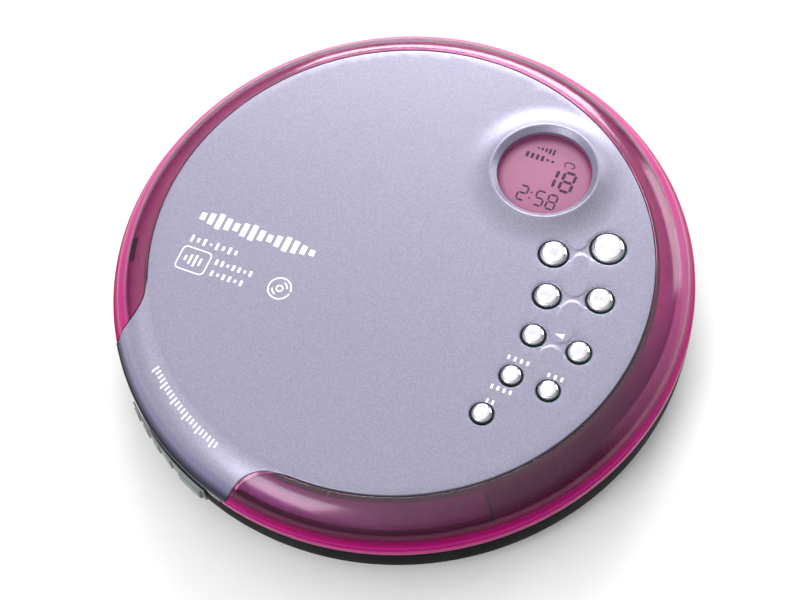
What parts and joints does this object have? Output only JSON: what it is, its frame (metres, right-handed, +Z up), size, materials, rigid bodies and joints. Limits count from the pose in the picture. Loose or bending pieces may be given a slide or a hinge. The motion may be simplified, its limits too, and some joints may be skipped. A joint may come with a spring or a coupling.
{
  "type": "portable cd player",
  "caption": "Round portable disc player with a hinged lid, a window display, push keys, a side slider and a battery bay.",
  "frame": {"origin": "centre of the box on the plane that the rubber feet stand on", "axes": "+Z up, +Y towards the hinge, -Y the front, +X the player's right, where the keys are"},
  "size_m": [0.136, 0.136, 0.0268],
  "materials": {
    "case_black": "gloss black moulded",
    "tinted_clear": "clear magenta, polished",
    "navy_plastic": "dark navy gloss",
    "charcoal_plastic": "fine matt",
    "dark_plastic": "matt moulded",
    "silver_plastic": "silver painted",
    "steel": "drawn or pressed steel",
    "lens_glass": "coated lens",
    "nylon": "natural moulded",
    "brass": "turned",
    "circuit_board": "solder mask",
    "lavender_paint": "satin metallic paint with fine flake",
    "display_window": "clear tinted",
    "display_panel": "liquid crystal panel",
    "rubber": "moulded rubber",
    "chrome": "bright plated"
  },
  "bodies": {
    "root": {"bottom_case": "case_black", "cabinet_ring": "tinted_clear", "latch_housing": "navy_plastic", "disc_tray": "charcoal_plastic", "hinge_pin": "steel", "hinge_spring": "steel", "latch_spring": "steel", "rubber_foot_1": "rubber", "rubber_foot_2": "rubber", "rubber_foot_3": "rubber", "rubber_foot_4": "rubber", "traverse_chassis": "steel", "chassis_damper_1": "rubber", "chassis_damper_2": "rubber", "chassis_damper_3": "rubber", "chassis_damper_4": "rubber", "spindle_motor": "steel", "main_guide_rod": "steel", "second_guide_rod": "steel", "feed_gear_shaft": "steel", "feed_motor": "steel", "main_board": "circuit_board", "decoder_chip": "dark_plastic", "servo_chip": "dark_plastic", "headphone_jack": "dark_plastic", "dc_jack": "dark_plastic", "dc_jack_pin": "brass", "battery_bridge": "steel", "battery_contact": "steel", "battery_spring": "steel"},
    "lid": {"lid_ring": "tinted_clear", "lid_plate": "lavender_paint", "lid_liner": "charcoal_plastic", "display_window": "display_window", "display_panel": "display_panel", "switch_board": "circuit_board"},
    "battery_door": {"battery_door": "case_black"},
    "open_slider": {"open_slider": "silver_plastic"},
    "hold_switch": {"hold_switch": "silver_plastic"},
    "lid_switch": {"lid_switch": "dark_plastic"},
    "turntable": {"turntable": "dark_plastic"},
    "sled": {"pickup_sled": "dark_plastic", "pickup_cover": "charcoal_plastic", "sled_rack": "nylon"},
    "lens": {"objective_lens": "lens_glass"},
    "feed_gear": {"feed_gear": "nylon"},
    "motor_pinion": {"motor_pinion": "brass"},
    "play_button": {"play_button": "chrome"},
    "stop_button": {"stop_button": "chrome"},
    "skip_back_button": {"skip_back_button": "chrome"},
    "skip_forward_button": {"skip_forward_button": "chrome"},
    "volume_down_button": {"volume_down_button": "chrome"},
    "volume_up_button": {"volume_up_button": "chrome"},
    "memory_button": {"memory_button": "chrome"},
    "mode_button": {"mode_button": "chrome"},
    "tone_button": {"tone_button": "chrome"}
  },
  "joints": [
    {"name": "lid_hinge", "type": "hinge", "parent": "root", "child": "lid", "pos_m": [0, 0.0656, 0.016], "axis": [-1, 0, 0], "range_deg": [0, 70]},
    {"name": "battery_door_hinge", "type": "hinge", "parent": "root", "child": "battery_door", "pos_m": [0, 0.0452, 0.001], "axis": [1, 0, 0], "range_deg": [0, 95]},
    {"name": "open_slide", "type": "hinge", "parent": "root", "child": "open_slider", "pos_m": [0, 0, 0.011], "axis": [0, 0, 1], "range_deg": [0, 4.2], "stiffness_Nm_per_rad": 0.8},
    {"name": "hold_slide", "type": "hinge", "parent": "root", "child": "hold_switch", "pos_m": [0, 0, 0.0102], "axis": [0, 0, 1], "range_deg": [0, 2]},
    {"name": "lid_switch_press", "type": "slide", "parent": "root", "child": "lid_switch", "axis": [0, 0, -1], "range_m": [0, 0.001], "stiffness_N_per_m": 200},
    {"name": "disc_spin", "type": "hinge", "parent": "root", "child": "turntable", "pos_m": [0, 0, 0.017], "axis": [0, 0, 1], "continuous": true},
    {"name": "sled_travel", "type": "slide", "parent": "root", "child": "sled", "axis": [0, -1, 0], "range_m": [0, 0.0315]},
    {"name": "lens_focus", "type": "slide", "parent": "sled", "child": "lens", "axis": [0, 0, 1], "range_m": [-0.0003, 0.0005], "stiffness_N_per_m": 40},
    {"name": "feed_gear_spin", "type": "hinge", "parent": "root", "child": "feed_gear", "pos_m": [0.0165, -0.0275, 0.01], "axis": [0, 0, 1], "range_deg": [0, 602.11]},
    {"name": "motor_pinion_spin", "type": "hinge", "parent": "root", "child": "motor_pinion", "pos_m": [0.02055, -0.03451, 0.0078], "axis": [0, 0, 1], "range_deg": [-1806.82, 0]},
    {"name": "play_press", "type": "slide", "parent": "lid", "child": "play_button", "axis": [0, 0, -1], "range_m": [0, 0.0005], "stiffness_N_per_m": 600},
    {"name": "stop_press", "type": "slide", "parent": "lid", "child": "stop_button", "axis": [0, 0, -1], "range_m": [0, 0.0005], "stiffness_N_per_m": 600},
    {"name": "skip_back_press", "type": "slide", "parent": "lid", "child": "skip_back_button", "axis": [0, 0, -1], "range_m": [0, 0.0005], "stiffness_N_per_m": 600},
    {"name": "skip_forward_press", "type": "slide", "parent": "lid", "child": "skip_forward_button", "axis": [0, 0, -1], "range_m": [0, 0.0005], "stiffness_N_per_m": 600},
    {"name": "volume_down_press", "type": "slide", "parent": "lid", "child": "volume_down_button", "axis": [0, 0, -1], "range_m": [0, 0.0005], "stiffness_N_per_m": 600},
    {"name": "volume_up_press", "type": "slide", "parent": "lid", "child": "volume_up_button", "axis": [0, 0, -1], "range_m": [0, 0.0005], "stiffness_N_per_m": 600},
    {"name": "memory_press", "type": "slide", "parent": "lid", "child": "memory_button", "axis": [0, 0, -1], "range_m": [0, 0.0005], "stiffness_N_per_m": 600},
    {"name": "mode_press", "type": "slide", "parent": "lid", "child": "mode_button", "axis": [0, 0, -1], "range_m": [0, 0.0005], "stiffness_N_per_m": 600},
    {"name": "tone_press", "type": "slide", "parent": "lid", "child": "tone_button", "axis": [0, 0, -1], "range_m": [0, 0.0005], "stiffness_N_per_m": 600}
  ],
  "couplings": [
    {"joint": "feed_gear_spin", "follows": "sled_travel", "rad_per_m": 333.33},
    {"joint": "motor_pinion_spin", "follows": "sled_travel", "rad_per_m": -1000}
  ]
}
